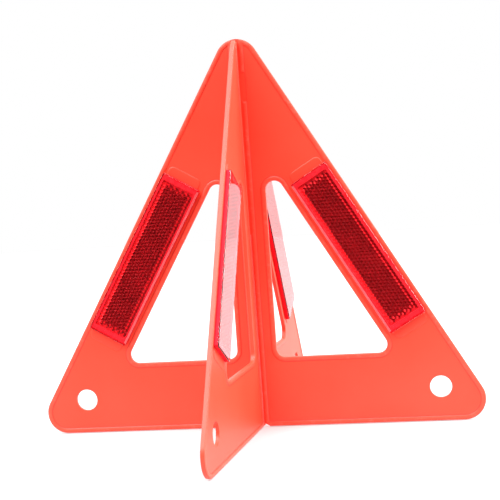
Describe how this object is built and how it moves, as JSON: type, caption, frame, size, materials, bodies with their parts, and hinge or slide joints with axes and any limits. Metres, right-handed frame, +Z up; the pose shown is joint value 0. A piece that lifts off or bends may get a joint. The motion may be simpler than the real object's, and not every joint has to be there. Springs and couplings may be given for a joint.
{
  "type": "warning triangle",
  "caption": "Free-standing roadside warning triangle: crossed triangular panels that slot together and carry one red reflector lens on each wing.",
  "frame": {"origin": "on the standing surface, on the vertical line where the two panels cross", "axes": "+Z up; +X along the sliding panel, towards its right wing; the fixed panel runs along Y, its rear wing towards +Y, turned 3.7 degrees clockwise seen from above"},
  "size_m": [0.2842, 0.2838, 0.2464],
  "materials": {
    "panel_plastic": "glossy moulded red-orange plastic, nearly opaque",
    "reflector_lens": "clear glossy red acrylic with corner prisms moulded into the back"
  },
  "bodies": {
    "fixed_half": {"fixed_panel": "panel_plastic", "front_wing_reflector": "reflector_lens", "rear_wing_reflector": "reflector_lens"},
    "sliding_half": {"sliding_panel": "panel_plastic", "left_wing_reflector": "reflector_lens", "right_wing_reflector": "reflector_lens"}
  },
  "joints": [
    {"name": "panel_slide", "type": "slide", "parent": "fixed_half", "child": "sliding_half", "axis": [0, 0, 1], "range_m": [0, 0.13]}
  ]
}
